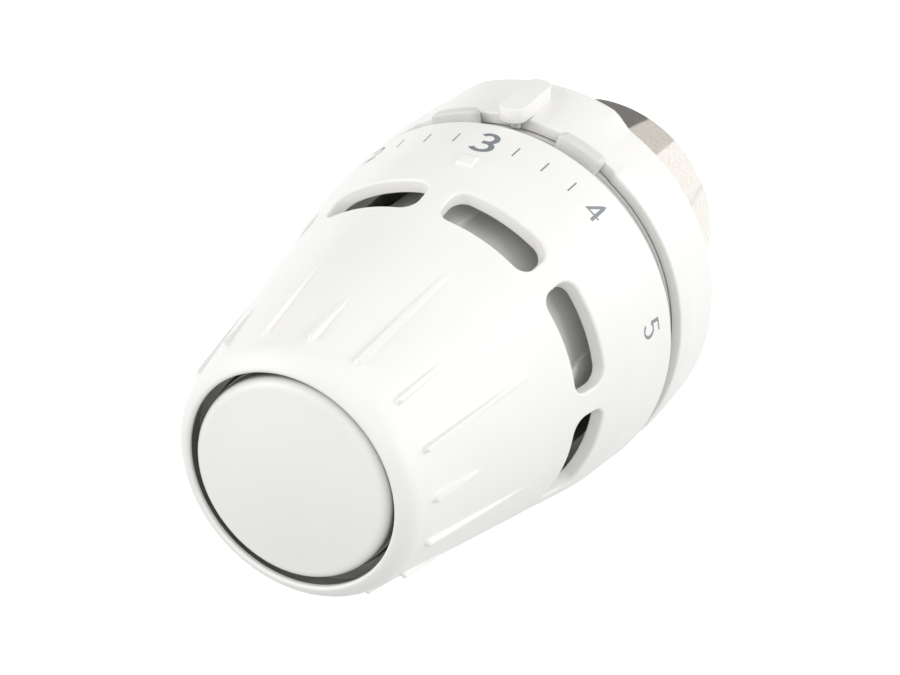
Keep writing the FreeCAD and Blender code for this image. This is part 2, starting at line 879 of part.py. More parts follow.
def end_cap():
    """A domed cap with two flats over the air slots and two snap legs under the ledge."""
    body = new_body("end_cap", cap_turn.value)
    flange_rear = ledge_front + touch_gap
    flange_front = flange_rear + cap_flange_thickness
    hook = ledge_rear - touch_gap
    dome_edge = cap_radius - cap_round
    dome_rise = cap_top - cap_rim
    dome_round = (dome_edge * dome_edge + dome_rise * dome_rise) / (2 * dome_rise)
    revolve(
        body,
        [
            (ZERO, cap_top),
            (ZERO, cap_top - cap_skin),
            (cap_leg_inner - corner, cap_rim - cap_skin - corner),
            (cap_leg_inner - corner, flange_rear),
            (cap_flange_radius, flange_rear),
            (cap_flange_radius, flange_front),
            (cap_radius, flange_front),
            (cap_radius, cap_rim - cap_round, cap_round, -1),
            (dome_edge, cap_rim, dome_round, -1),
        ],
    )
    for turn in (90.0, 270.0):
        revolve(
            body,
            [
                (cap_leg_inner, flange_front),
                (ledge_radius - 3 * touch_gap, flange_front),
                (ledge_radius - 3 * touch_gap, hook),
                (cap_flange_radius, hook),
                (cap_flange_radius, hook - corner),
                (cap_flange_radius - 2 * corner, cap_leg_end),
                (cap_leg_inner, cap_leg_end),
            ],
            sweep=cap_leg_sweep,
            role=TOP,
            turn=turn,
        )
    for low, high in (
        (cap_flat, cap_flange_radius + corner),
        (-cap_flange_radius - corner, -cap_flat),
    ):
        sketch = new_sketch(body, CROSS)
        draw_loop(sketch, rectangle(-cap_radius, cap_radius, low, high))
        pocket(body, sketch, symmetric=True)
    return body


def drive_ring():
    """A ring fixed in the handle, with two steep slots that move the carriage pegs."""
    body = new_body("drive_ring")
    revolve(
        body,
        rectangle(
            drive_bore,
            drive_seat_radius - touch_gap,
            drive_seat_rear + touch_gap,
            drive_seat_front - touch_gap,
        ),
    )
    margin = (drive_sweep - open_angle - shut_angle) / 2
    travel = drive_lead * drive_sweep / 360
    start = peg_station - drive_lead * (shut_angle + margin) / 360
    guide = peg_radius + run_gap
    first = shut_angle + margin
    sketch = new_sketch(body, TOP, turn=first.value)
    draw_loop(
        sketch,
        rectangle(
            drive_bore - corner,
            drive_seat_radius + corner,
            start - guide,
            start + guide,
        ),
    )
    slot = helix(body, sketch, drive_lead, travel, cut=True, left_handed=True)
    around(body, slot, Size(2, "2"), Size(180, "180"))
    return body


# Carriage and sensor


def sensor_carriage():
    body = new_body("sensor_carriage")
    flange_front = carriage_rear + carriage_flange
    groove = retainer_rear + retainer_thickness
    revolve(
        body,
        [
            (carriage_flange_bore, carriage_rear),
            (carriage_radius - corner, carriage_rear),
            (carriage_radius, carriage_rear + corner),
            (carriage_radius, carriage_front),
            (carriage_bore, carriage_front),
            (carriage_bore, groove + touch_gap),
            (retainer_radius + touch_gap, groove + touch_gap),
            (retainer_radius + touch_gap, retainer_rear - touch_gap),
            (carriage_bore, retainer_rear - touch_gap),
            (carriage_bore, flange_front),
            (carriage_flange_bore, flange_front),
        ],
    )
    for reverse in (False, True):
        shift = carriage_bore + run_gap
        sketch = new_sketch(body, SIDE, lift=shift if reverse else -shift)
        draw_circle(sketch, ZERO, peg_station, peg_radius)
        pad(body, sketch, peg_reach - shift, reverse=not reverse)
    return body


def spring_retainer():
    body = new_body("spring_retainer")
    revolve(
        body,
        rectangle(
            retainer_hole,
            retainer_radius,
            retainer_rear,
            retainer_rear + retainer_thickness,
        ),
    )
    return body


def sensor_can():
    body = new_body("sensor_can")
    inner = can_radius - can_wall
    revolve(
        body,
        [
            (inner, can_rear),
            (can_radius, can_rear),
            (can_radius, can_front - can_round, can_round, -1),
            (can_radius - can_round, can_front),
            (fill_tube_radius, can_front),
            (fill_tube_radius, can_front - can_wall),
            (inner - can_round, can_front - can_wall),
            (inner, can_front - can_wall - can_round),
        ],
    )
    return body


def can_base():
    body = new_body("can_base")
    rear = carriage_rear + carriage_flange + touch_gap
    revolve(
        body,
        [
            (rod_bore, rear),
            (can_radius, rear),
            (can_radius, can_rear - touch_gap),
            (can_hub_radius, can_rear - touch_gap),
            (can_hub_radius, can_hub_front),
            (rod_bore, can_hub_front),
        ],
    )
    return body


def bellows():
    """A thin corrugated tube, with one outer crest for each fold."""
    body = new_body("bellows")
    fold = (bellows_front - can_rear) / bellows_folds
    outer = []
    for index in range(bellows_folds):
        root_station = can_rear + fold * index
        outer.append((bellows_root + bellows_wall, root_station))
        outer.append((bellows_radius, root_station + fold * 0.35))
        outer.append((bellows_radius, root_station + fold * 0.65))
    outer.append((bellows_root + bellows_wall, bellows_front))
    inner = [(radius - bellows_wall, station) for radius, station in reversed(outer)]
    revolve(body, outer + inner)
    return body


def bellows_plate():
    body = new_body("bellows_plate")
    rear = bellows_front + touch_gap
    revolve(
        body, rectangle(ZERO, bellows_radius - bellows_wall, rear, rear + plate_thickness)
    )
    return body


def fill_tube():
    """The crimped filling tube at the front of the sensor."""
    body = new_body("fill_tube")
    radius = fill_tube_radius - touch_gap
    revolve(
        body,
        [
            (ZERO, can_front - can_wall),
            (radius, can_front - can_wall),
            (radius, fill_tube_front - 2 * corner),
            (radius - corner, fill_tube_front),
            (ZERO, fill_tube_front),
        ],
    )
    return body


# Push rod


def push_rod():
    body = new_body("push_rod")
    groove_front = rod_clip_station + rod_clip_thickness + touch_gap
    revolve(
        body,
        [
            (ZERO, rod_rear),
            (rod_radius, rod_rear),
            (rod_radius, rod_clip_station - touch_gap),
            (rod_groove_radius, rod_clip_station - touch_gap),
            (rod_groove_radius, groove_front),
            (rod_radius, groove_front),
            (rod_radius, bellows_front),
            (ZERO, bellows_front),
        ],
    )
    return body


def rod_clip():
    body = new_body("rod_clip")
    revolve(
        body,
        rectangle(
            rod_groove_radius + touch_gap,
            rod_clip_radius,
            rod_clip_station,
            rod_clip_station + rod_clip_thickness,
        ),
        sweep=rod_clip_sweep,
    )
    return body


def rod_foot():
    """The cap on the rod's end that presses on the valve's pin."""
    body = new_body("rod_foot")
    revolve(
        body,
        [
            (ZERO, foot_rear),
            (foot_radius - corner, foot_rear),
            (foot_radius, foot_rear + corner),
            (foot_radius, foot_front),
            (rod_radius + touch_gap, foot_front),
            (rod_radius + touch_gap, rod_rear - touch_gap),
            (ZERO, rod_rear - touch_gap),
        ],
    )
    return body


def guide_bush():
    body = new_body("guide_bush")
    revolve(
        body, rectangle(rod_bore, bush_radius - touch_gap / 2, hub_rear, hub_front)
    )
    return body


limiter_rear = base_ring_front + run_gap
pieces = [
    union_nut(),
    nut_snap_ring(),
    base_socket(),
    collar_cover(),
    pointer_tab(),
    limiter_ring(
        "max_limit_ring",
        limiter_rear + limiter_thickness + run_gap,
        -max_limiter_angle.value,
    ),
    limiter_ring("min_limit_ring", limiter_rear, min_limiter_angle.value),
    friction_washer(),
    handle_snap_ring(),
    guide_sleeve(),
    guide_bush(),
    setting_handle(),
    end_cap(),
    drive_ring(),
    sensor_carriage(),
    spring_retainer(),
    coil_spring(
        "overtravel_spring",
        overtravel_mean,
        overtravel_wire,
        can_front,
        retainer_rear,
        overtravel_turns,
    ),
    sensor_can(),
    can_base(),
    bellows(),
    fill_tube(),
    bellows_plate(),
    coil_spring(
        "rod_spring",
        rod_spring_mean,
        rod_spring_wire,
        can_rear,
        bellows_front,
        rod_spring_turns,
    ),
    push_rod(),
    rod_clip(),
    rod_foot(),
]

doc.recompute()

faults = [
    f"{item.Label}: {state}"
    for item in doc.Objects
    for state in item.State
    if state in ("Invalid", "Error")
]
for piece in pieces:
    if piece.Shape.isNull() or not piece.Shape.isValid():
        faults.append(f"{piece.Label}: no valid shape")
    elif len(piece.Shape.Solids) != 1:
        faults.append(f"{piece.Label}: {len(piece.Shape.Solids)} solids")
if faults:
    raise SystemExit("\n".join(faults))

os.makedirs("parts", exist_ok=True)
for piece in pieces:
    piece.Shape.exportStep(f"parts/{piece.Label}.step")
print(f"{len(pieces)} pieces written")
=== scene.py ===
import json
import math

import bmesh
import bpy
from mathutils import Matrix, Vector


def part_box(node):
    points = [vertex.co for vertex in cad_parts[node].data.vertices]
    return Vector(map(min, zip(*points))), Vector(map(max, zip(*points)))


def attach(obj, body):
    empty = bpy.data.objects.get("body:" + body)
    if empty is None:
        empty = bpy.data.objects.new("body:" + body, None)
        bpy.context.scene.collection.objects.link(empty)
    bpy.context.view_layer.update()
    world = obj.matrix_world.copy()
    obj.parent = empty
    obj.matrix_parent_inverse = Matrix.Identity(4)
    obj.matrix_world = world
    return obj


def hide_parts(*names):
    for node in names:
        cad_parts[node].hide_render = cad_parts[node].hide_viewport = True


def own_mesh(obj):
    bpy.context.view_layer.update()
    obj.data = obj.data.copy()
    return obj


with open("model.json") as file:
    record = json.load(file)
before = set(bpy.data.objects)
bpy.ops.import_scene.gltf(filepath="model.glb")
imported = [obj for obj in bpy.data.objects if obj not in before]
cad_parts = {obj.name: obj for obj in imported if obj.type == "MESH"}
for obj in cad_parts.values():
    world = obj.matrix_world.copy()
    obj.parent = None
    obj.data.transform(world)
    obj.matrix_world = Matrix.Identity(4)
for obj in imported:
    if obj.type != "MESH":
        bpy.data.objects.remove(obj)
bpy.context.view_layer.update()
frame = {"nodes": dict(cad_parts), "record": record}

# Lengths are in millimetres until a point is made. A station is a distance along the head's
# axis from the nut's mating face toward the nose. Angles are in degrees from the top toward +X.

MM = 0.001
scene = bpy.context.scene


def span(node):
    """Rear and front station of a CAD node."""
    low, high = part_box(node)
    return -high.y / MM, -low.y / MM


def reach(node):
    """Outer radius of a CAD node, read across the object."""
    low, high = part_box(node)
    return high.x / MM


# ---------------------------------------------------------------- sections


def corner(before, here, after, radius, parts):
    """Points of the arc that rounds one corner of a section."""
    back = (before - here).normalized()
    ahead = (after - here).normalized()
    half = back.angle(ahead) / 2
    run = min(
        radius / math.tan(half),
        0.49 * (before - here).length,
        0.49 * (after - here).length,
    )
    radius = run * math.tan(half)
    centre = here + (back + ahead).normalized() * (radius / math.sin(half))
    first = (here + back * run - centre).normalized()
    last = (here + ahead * run - centre).normalized()
    return [centre + first.slerp(last, i / parts) * radius for i in range(parts + 1)]


def rounded(path, parts=6, closed=True):
    """Turn (radius, station, rounding) corners into points. Every corner gives the same count."""
    corners = [Vector((p[0], p[1])) for p in path]
    points = []
    for index, here in enumerate(corners):
        rounding = path[index][2] if len(path[index]) > 2 else 0
        at_end = not closed and index in (0, len(corners) - 1)
        if rounding and not at_end:
            after = corners[(index + 1) % len(corners)]
            points += corner(corners[index - 1], here, after, rounding, parts)
        else:
            points.append(here)
    return points


def arc(radius_centre, station_centre, radius, start, end, parts):
    """Points of an arc in a section; angles are measured from the outward direction."""
    points = []
    for index in range(parts + 1):
        turn = math.radians(start + (end - start) * index / parts)
        points.append(
            Vector(
                (
                    radius_centre + radius * math.cos(turn),
                    station_centre + radius * math.sin(turn),
                )
            )
        )
    return points


def refined(points, step):
    """Add points along long straight stretches."""
    out = [points[0]]
    for first, second in zip(points, points[1:]):
        count = max(1, math.ceil((second - first).length / step))
        out += [first.lerp(second, i / count) for i in range(1, count + 1)]
    return out


def ease(value):
    """Smooth step from 0 to 1."""
    value = min(max(value, 0.0), 1.0)
    return value * value * (3 - 2 * value)


def place(angle, radius, station):
    """A point of the object, in metres."""
    turn = math.radians(angle)
    return (
        radius * math.sin(turn) * MM,
        -station * MM,
        radius * math.cos(turn) * MM,
    )


# ---------------------------------------------------------------- meshes


def to_object(name, mesh_builder, sharp=38):
    """Close a bmesh into a smooth-shaded object."""
    bmesh.ops.remove_doubles(mesh_builder, verts=mesh_builder.verts, dist=1e-6)
    bmesh.ops.dissolve_degenerate(mesh_builder, edges=mesh_builder.edges, dist=1e-7)
    bmesh.ops.recalc_face_normals(mesh_builder, faces=mesh_builder.faces)
    mesh = bpy.data.meshes.new(name)
    mesh_builder.to_mesh(mesh)
    mesh_builder.free()
    mesh.shade_smooth()
    mesh.set_sharp_from_angle(angle=math.radians(sharp))
    obj = bpy.data.objects.new(name, mesh)
    scene.collection.objects.link(obj)
    return obj


def skin(builder, rows, loop_rows, loop_columns):
    """Join rows of points with quads."""
    verts = [[builder.verts.new(p) for p in row] for row in rows]
    last_row = len(verts) if loop_rows else len(verts) - 1
    for r in range(last_row):
        here, there = verts[r], verts[(r + 1) % len(verts)]
        last = len(here) if loop_columns else len(here) - 1
        for c in range(last):
            d = (c + 1) % len(here)
            builder.faces.new((here[c], here[d], there[d], there[c]))
    return verts


def full_turn(count):
    """Evenly spaced angles round the axis."""
    return [360 * i / count for i in range(count)]


def lathe(name, section, count=256, angles=None, open_section=False, shift=None):
    """Turn a section round the axis. The section is points, or a function of angle."""
    builder = bmesh.new()
    whole = angles is None
    angles = angles or full_turn(count)
    columns = []
    for angle in angles:
        points = section(angle) if callable(section) else section
        if shift:
            points = [shift(angle, p) for p in points]
        columns.append([place(angle, p[0], p[1]) for p in points])
    verts = skin(builder, columns, whole, not open_section)
    if not whole:
        builder.faces.new(verts[0])
        builder.faces.new(list(reversed(verts[-1])))
    return to_object(name, builder)


def merge(target, *others):
    """Join other objects' meshes into the target object."""
    builder = bmesh.new()
    builder.from_mesh(target.data)
    for other in others:
        builder.from_mesh(other.data)
        bpy.data.objects.remove(other)
    builder.to_mesh(target.data)
    builder.free()
    return target


# ---------------------------------------------------------------- materials


def shader(name, rough):
    """A new node material with its surface shader."""
    material = bpy.data.materials.new(name)
    material.use_nodes = True
    tree = material.node_tree
    surface = tree.nodes["Principled BSDF"]
    surface.inputs["Roughness"].default_value = rough
    return tree, surface, material


def noise(tree, scale, detail=4.0, stretch=(1, 1, 1), roughness=0.6):
    """Object-space noise, stretched along chosen axes. Scale is in features per metre."""
    coordinates = tree.nodes.new("ShaderNodeTexCoord")
    mapping = tree.nodes.new("ShaderNodeMapping")
    mapping.inputs["Scale"].default_value = stretch
    texture = tree.nodes.new("ShaderNodeTexNoise")
    texture.inputs["Scale"].default_value = scale
    texture.inputs["Detail"].default_value = detail
    texture.inputs["Roughness"].default_value = roughness
    tree.links.new(coordinates.outputs["Object"], mapping.inputs["Vector"])
    tree.links.new(mapping.outputs["Vector"], texture.inputs["Vector"])
    return texture.outputs["Fac"]


def remap(tree, value, low, high, start=0.3, end=0.7):
    """Map a texture value onto a number range."""
    node = tree.nodes.new("ShaderNodeMapRange")
    node.inputs["From Min"].default_value = start
    node.inputs["From Max"].default_value = end
    node.inputs["To Min"].default_value = low
    node.inputs["To Max"].default_value = high
    tree.links.new(value, node.inputs["Value"])
    return node.outputs["Result"]


def tint(tree, factor, low, high):
    """Blend two colours by a texture value."""
    node = tree.nodes.new("ShaderNodeMix")
    node.data_type = "RGBA"
    node.inputs["A"].default_value = (*low, 1)
    node.inputs["B"].default_value = (*high, 1)
    tree.links.new(factor, node.inputs["Factor"])
    return node.outputs["Result"]


def roughen(tree, surface, value, strength, distance):
    """Bump the surface by a texture value. Distance is in metres."""
    bump = tree.nodes.new("ShaderNodeBump")
    bump.inputs["Strength"].default_value = strength
    bump.inputs["Distance"].default_value = distance
    tree.links.new(value, bump.inputs["Height"])
    tree.links.new(bump.outputs["Normal"], surface.inputs["Normal"])


RELIEF_DEPTH = 2e-5
# Painted shade in narrow gaps: the reach of the cover test, the range of openness over which the
# shade fades out, and the shade colour.
GAP_DEPTH = 0.004
GAP_OPENNESS = (0.08, 0.4)
PAINTED_GAP_SHADE = (0.22, 0.22, 0.21)


def darken_gaps_as_shade(tree, colour):
    """Darken a colour inside narrow gaps: painted shade that deepens dark seams, such as the ring
    round the end cap.
    """
    open_air = tree.nodes.new("ShaderNodeAmbientOcclusion")
    open_air.inputs["Distance"].default_value = GAP_DEPTH
    open_air.samples = 8
    node = tree.nodes.new("ShaderNodeMix")
    node.data_type = "RGBA"
    node.inputs["A"].default_value = (*PAINTED_GAP_SHADE, 1)
    tree.links.new(colour, node.inputs["B"])
    tree.links.new(
        remap(tree, open_air.outputs["AO"], 0, 1, *GAP_OPENNESS), node.inputs["Factor"]
    )
    return node.outputs["Result"]


def finish_material(
    name,
    colours,
    rough,
    grain,
    bump,
    metallic=0.0,
    stretch=(1, 1, 1),
    patch=90,
    shade_gaps=False,
):
    """Base colour, roughness and fine relief that all vary with object-space noise.

    Grain and patch are the noise scales of the relief and of the colour, per metre. The colour
    can also take painted shade inside narrow gaps.
    """
    tree, surface, material = shader(name, rough[0])
    patches = noise(tree, patch, 3.0)
    fine = noise(tree, grain, 5.0, stretch)
    colour = tint(tree, remap(tree, patches, 0, 1), *colours)
    # Painted shade inside narrow gaps.
    if shade_gaps:
        colour = darken_gaps_as_shade(tree, colour)
    tree.links.new(colour, surface.inputs["Base Color"])
    tree.links.new(remap(tree, fine, *rough), surface.inputs["Roughness"])
    surface.inputs["Metallic"].default_value = metallic
    roughen(tree, surface, fine, bump, RELIEF_DEPTH)
    return material


# The white moulding takes painted shade inside its narrow gaps.
WHITE = finish_material(
    "white_moulding",
    ((0.873, 0.866, 0.842), (0.891, 0.884, 0.860)),
    (0.34, 0.42),
    2500,
    0.05,
    shade_gaps=True,
)
# The white moulding painted darker: painted shade for white pieces that sit in shade, such as the
# limiter rings and their tabs.
SHADED_WHITE = finish_material(
    "shaded_moulding", ((0.69, 0.685, 0.67), (0.72, 0.715, 0.70)), (0.4, 0.5), 2500, 0.06
)
PRINT = finish_material(
    "print_ink", ((0.23, 0.255, 0.28), (0.27, 0.295, 0.32)), (0.45, 0.6), 6000, 0.05
)
BOLD_PRINT = finish_material(
    "bold_print_ink", ((0.19, 0.205, 0.225), (0.215, 0.235, 0.255)), (0.45, 0.6), 6000, 0.05
)
GREY = finish_material(
    "grey_moulding", ((0.74, 0.74, 0.73), (0.77, 0.77, 0.76)), (0.4, 0.52), 2500, 0.1
)
NICKEL = finish_material(
    "nickel_turning",
    ((0.69, 0.66, 0.61), (0.81, 0.78, 0.73)),
    (0.05, 0.1),
    3800,
    0.08,
    metallic=1.0,
    stretch=(1, 0.35, 1),
    patch=1700,
)
STEEL = finish_material(
    "spring_steel_wire",
    ((0.50, 0.50, 0.50), (0.60, 0.60, 0.61)),
    (0.2, 0.35),
    3000,
    0.08,
    metallic=1.0,
)
BRASS = finish_material(
    "drawn_brass",
    ((0.72, 0.53, 0.25), (0.80, 0.62, 0.32)),
    (0.2, 0.34),
    3000,
    0.08,
    metallic=1.0,
    stretch=(1, 0.2, 1),
)
COPPER = finish_material(
    "drawn_copper",
    ((0.70, 0.38, 0.24), (0.78, 0.46, 0.30)),
    (0.22, 0.36),
    3000,
    0.08,
    metallic=1.0,
)

FINISHES = {
    "white_plastic": WHITE,
    "tab_plastic": SHADED_WHITE,
    "print_grey": PRINT,
    "grey_plastic": GREY,
    "nickel_plating": NICKEL,
    "spring_steel": STEEL,
    "brass": BRASS,
    "copper": COPPER,
}
NODE_SLOT = {
    part["node"]: part["material_slot"] for part in frame["record"]["subparts"]
}
NODE_BODY = {
    node: body
    for body, nodes in frame["record"]["behaviour"]["bodies"].items()
    for node in nodes
}
for node, obj in frame["nodes"].items():
    obj.data.materials.clear()
    obj.data.materials.append(FINISHES[NODE_SLOT[node]])
    obj.data.shade_smooth()
    obj.data.set_sharp_from_angle(angle=math.radians(30))


def stand_for(obj, node, material=None):
    """Let a modelled piece take the place of one CAD node."""
    obj.data.materials.append(material or FINISHES[NODE_SLOT[node]])
    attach(obj, NODE_BODY[node])
    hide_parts(node)
    return obj


# ---------------------------------------------------------------- setting handle

HANDLE_REAR, HANDLE_FRONT = span("setting_handle")
REAR_RADIUS = 24.0
CREASE = HANDLE_REAR + 8.5
CREASE_RADIUS = 22.9
TAPER = 0.2336
WALL = 1.6
RIB_PITCH = 21.4
VENT_CENTRES = [(index - 3.5) * 2 * RIB_PITCH for index in range(8)]
VENT_REAR = HANDLE_REAR + 14.3
VENT_FRONT = HANDLE_REAR + 19.55
VENT_HALF = 17.2
VENT_CORNER = 1.8
BAND_REAR = VENT_REAR - 1.3
BAND_FRONT = VENT_FRONT + 1.3
BAND_RADIUS = 20.7
RIB_TIP = HANDLE_FRONT - 3.75
RIB_HALF = 0.42
MARK_STATION = CREASE + 0.75
MARK_HALF = 1.05
COLUMNS = 32


def cone(station):
    """Outer radius of the handle between its rear edge and its lip."""
    if station < CREASE:
        rise = (REAR_RADIUS - CREASE_RADIUS) / (CREASE - HANDLE_REAR)
        return CREASE_RADIUS + rise * (CREASE - station)
    return CREASE_RADIUS - TAPER * (station - CREASE)


def cell(start, width, radius, crowd):
    """Angles across the cell between two rib lines. Crowd 1 gathers them at the ribs."""
    near = [
        math.degrees(offset / radius)
        for offset in (0, 0.16, 0.24, 0.3, 0.36, 0.42, 0.5, 0.7, 0.86, 0.93, 1.0, 1.07)
    ]
    far = [width - offset for offset in reversed(near)]
    gap = COLUMNS + 1 - len(near) - len(far)
    between = [
        near[-1] + (far[0] - near[-1]) * (i + 1) / (gap + 1) for i in range(gap)
    ]
    gathered = near + between + far
    even = [width * i / COLUMNS for i in range(COLUMNS)]
    return [start + e + (g - e) * crowd for e, g in zip(even, gathered)]


def round_handle(radius, crowd):
    """All column angles of one handle row."""
    angles = []
    for index in range(16):
        angles += cell((index - 8) * RIB_PITCH, RIB_PITCH, radius, crowd)
    return angles + cell(8 * RIB_PITCH, 360 - 16 * RIB_PITCH, radius, crowd)


def relief(angle, radius, station):
    """Height of the ribs and of the raised mark above the cone."""
    angle = (angle + 180) % 360 - 180
    line = max(-8, min(8, round(angle / RIB_PITCH)))
    offset = abs(math.radians(angle - line * RIB_PITCH)) * radius
    end = RIB_TIP - (17.2 if line % 2 else 7.6)
    height = 0.0
    if end < station < RIB_TIP:
        past_tip = max(0.0, station - (RIB_TIP - RIB_HALF))
        across = ease((RIB_HALF - math.hypot(offset, past_tip)) / 0.2)
        height = 0.6 * ((station - end) / (RIB_TIP - end)) ** 0.8 * across
    if line == 0:
        sides = ease((MARK_HALF - offset) / 0.14)
        ends = ease((MARK_HALF - abs(station - MARK_STATION)) / 0.14)
        height = max(height, 0.35 * sides * ends)
    return height


def handle_row(point, crowd, raised):
    """Vertex positions of one handle row."""
    radius, station = point
    return [
        place(a, radius + (relief(a, radius, station) if raised else 0), station)
        for a in round_handle(radius, crowd)
    ]


def outline(grow, counts):
    """A vent's rounded outline in mm, walked in four runs that start at its corners."""
    half = math.radians(VENT_HALF) * BAND_RADIUS + grow
    bend = VENT_CORNER + grow
    low, high = VENT_REAR - grow + bend, VENT_FRONT + grow - bend
    side = half - bend
    centres = [
        Vector((-side, low)),
        Vector((side, low)),
        Vector((side, high)),
        Vector((-side, high)),
    ]
    points = []
    for run, count in enumerate(counts):
        start, stop = centres[run], centres[(run + 1) % 4]
        straight = (stop - start).length
        quarter = math.pi / 4 * bend
        for index in range(count):
            walked = (straight + 2 * quarter) * index / count
            turn = 225 + 90 * run
            centre = start
            if walked < quarter:
                turn += math.degrees(walked / bend)
            elif walked < quarter + straight:
                turn += 45
                centre = start.lerp(stop, (walked - quarter) / straight)
            else:
                turn += 45 + math.degrees((walked - quarter - straight) / bend)
                centre = stop
            angle = math.radians(turn)
            points.append(centre + Vector((math.cos(angle), math.sin(angle))) * bend)
    return points


def frame_points(counts):
    """The band's rectangle round a vent, walked like the outline."""
    half = math.radians(RIB_PITCH) * BAND_RADIUS
    corners = [
        Vector((-half, BAND_REAR)),
        Vector((half, BAND_REAR)),
        Vector((half, BAND_FRONT)),
        Vector((-half, BAND_FRONT)),
    ]
    return [
        corners[run].lerp(corners[(run + 1) % 4], index / count)
        for run, count in enumerate(counts)
        for index in range(count)
    ]


def vent_panel(builder, centre):
    """One cell of the vented band: outer face, rounded edge, wall and inner face."""
    sides = 10
    counts = (2 * COLUMNS, sides, 2 * COLUMNS, sides)
    edge, inner_edge, rings = 0.3, 0.2, 6
    border = frame_points(counts)
    layers = []
    brim = outline(edge, counts)
    for index in range(rings):
        share = 1 - (1 - index / rings) ** 1.5
        layers.append(([b.lerp(o, share) for b, o in zip(border, brim)], 0))
    for index in range(9):
        turn = math.radians(90 * index / 8)
        layers.append(
            (outline(edge * (1 - math.sin(turn)), counts), edge * (1 - math.cos(turn)))
        )
    for index in range(5):
        turn = math.radians(90 * index / 4)
        layers.append(
            (
                outline(inner_edge * (1 - math.cos(turn)), counts),
                WALL - inner_edge * (1 - math.sin(turn)),
            )
        )
    back = outline(inner_edge, counts)
    for index in reversed(range(rings)):
        share = index / rings
        layers.append(([b.lerp(o, share) for b, o in zip(border, back)], WALL))
    rows = []
    for points, depth in layers:
        rows.append(
            [
                place(
                    centre + math.degrees(p.x / BAND_RADIUS), cone(p.y) - depth, p.y
                )
                for p in points
            ]
        )
    skin(builder, rows, False, True)


def plain_panel(builder):
    """The unbroken web of the band, at the bottom."""
    start, width = 8 * RIB_PITCH, 360 - 16 * RIB_PITCH
    sides = 10
    for depth in (0, WALL):
        rows = []
        for index in range(sides + 1):
            station = BAND_REAR + (BAND_FRONT - BAND_REAR) * index / sides
            rows.append(
                [
                    place(start + width * i / COLUMNS, cone(station) - depth, station)
                    for i in range(COLUMNS + 1)
                ]
            )
        skin(builder, rows, False, False)


def rear_rows():
    """Rows from the vented band's inner face, round the rear edge, to its outer face."""
    bead = HANDLE_REAR + 2.7
    bore = 20.95
    inside = rounded(
        [
            (cone(BAND_REAR) - WALL, BAND_REAR),
            (CREASE_RADIUS - WALL, CREASE, 1.0),
            (21.8, bead + 0.6, 0.2),
            (bore, bead, 0.25),
            (bore, HANDLE_REAR, 0.3),
            (REAR_RADIUS, HANDLE_REAR, 0.45),
            (CREASE_RADIUS, CREASE, 0.5),
            (cone(BAND_REAR), BAND_REAR),
        ],
        closed=False,
    )
    points = refined(inside, 0.6)
    turned = points.index(max(points, key=lambda p: p.x))
    rows = []
    for index, point in enumerate(points):
        outer = index > turned
        near_mark = 1 - ease((abs(point.y - MARK_STATION) - 1.3) / 2.0)
        rows.append((point, near_mark if outer else 0.0, outer))
    return rows


def mark_rows(rows):
    """Extra rows where the raised mark begins and ends."""
    extra = [
        MARK_STATION + side * offset
        for side in (-1, 1)
        for offset in (0.86, 0.91, 0.95, 0.98, 1.02, 1.06)
    ]
    outer = [row for row in rows if row[2]]
    inner = [row for row in rows if not row[2]]
    for station in extra:
        outer.append((Vector((cone(station), station)), 1.0, True))
    outer = [
        row for row in outer if row[0].y > CREASE + 0.3 or row[0].y < CREASE - 0.6
    ] + [
        (Vector((cone(CREASE + d) - 0.012, CREASE + d)), 1.0, True)
        for d in (-0.4, -0.22, 0.22)
    ]
    outer.sort(key=lambda row: row[0].y)
    return inner + outer


def front_rows():
    """Rows from the vented band's outer face, over the lip and back down inside."""
    lip, mouth, edge = 3.0, 12.3, 0.3
    slope = math.atan(TAPER)
    lip_station = HANDLE_FRONT - lip
    lip_centre = cone(lip_station) - lip / math.cos(slope)
    edge_centre = mouth + edge
    offset = edge_centre - lip_centre
    rise = math.sqrt((lip - edge) ** 2 - offset**2)
    meet = math.degrees(math.atan2(rise, offset))
    stations = [BAND_FRONT, RIB_TIP - 0.3, RIB_TIP - 0.15, RIB_TIP - 0.05]
    stations += [RIB_TIP - 0.45 + 0.05 * i for i in range(10)]
    step = BAND_FRONT
    while step < RIB_TIP - 0.6:
        stations.append(step)
        step += 0.5
    stations.append(RIB_TIP + 0.12)
    outer = [Vector((cone(s), s)) for s in sorted(set(round(s, 4) for s in stations))]
    outer += arc(lip_centre, lip_station, lip, math.degrees(slope), meet, 12)
    inside = arc(edge_centre, lip_station + rise, edge, meet, 180, 8)
    inside += rounded(
        [
            (mouth, lip_station + rise - 0.01),
            (mouth, 79.3, 0.1),
            (13.2, 78.6, 0.2),
            (13.2, 76.5, 0.2),
            (11.9, 76.5, 0.2),
            (11.9, 75.0, 0.2),
            (13.4, 75.0, 0.2),
            (13.4, 73.8, 0.3),
            (15.0, 63.0, 0.15),
            (15.95, 63.0, 0.15),
            (15.95, BAND_FRONT, 0.1),
            (cone(BAND_FRONT) - WALL, BAND_FRONT),
        ],
        closed=False,
    )
    rows = []
    for point in outer:
        rows.append((point, ease((point.y - BAND_FRONT) / 4.0), True))
    for point in refined(inside, 1.2):
        rows.append((point, 0.0, False))
    lip_rows = [i for i, row in enumerate(rows) if row[2] and row[0].y > RIB_TIP + 0.2]
    for order, index in enumerate(lip_rows):
        point, _, _ = rows[index]
        rows[index] = (point, 1 - ease((order + 1) / len(lip_rows)), False)
    return rows


def setting_handle():
    """The handle shell, one closed surface from its parts."""
    builder = bmesh.new()
    for rows in (mark_rows(rear_rows()), front_rows()):
        skin(builder, [handle_row(*row) for row in rows], False, True)
    for centre in VENT_CENTRES:
        vent_panel(builder, centre)
    plain_panel(builder)
    return stand_for(to_object("handle_moulding", builder, 50), "setting_handle")


# ---------------------------------------------------------------- printed scale

SCALE_PITCH = 37.8
SCALE_MIDDLE = HANDLE_REAR + 4.75
TICK_HALF = 1.05
TICK_WIDTH = 0.19


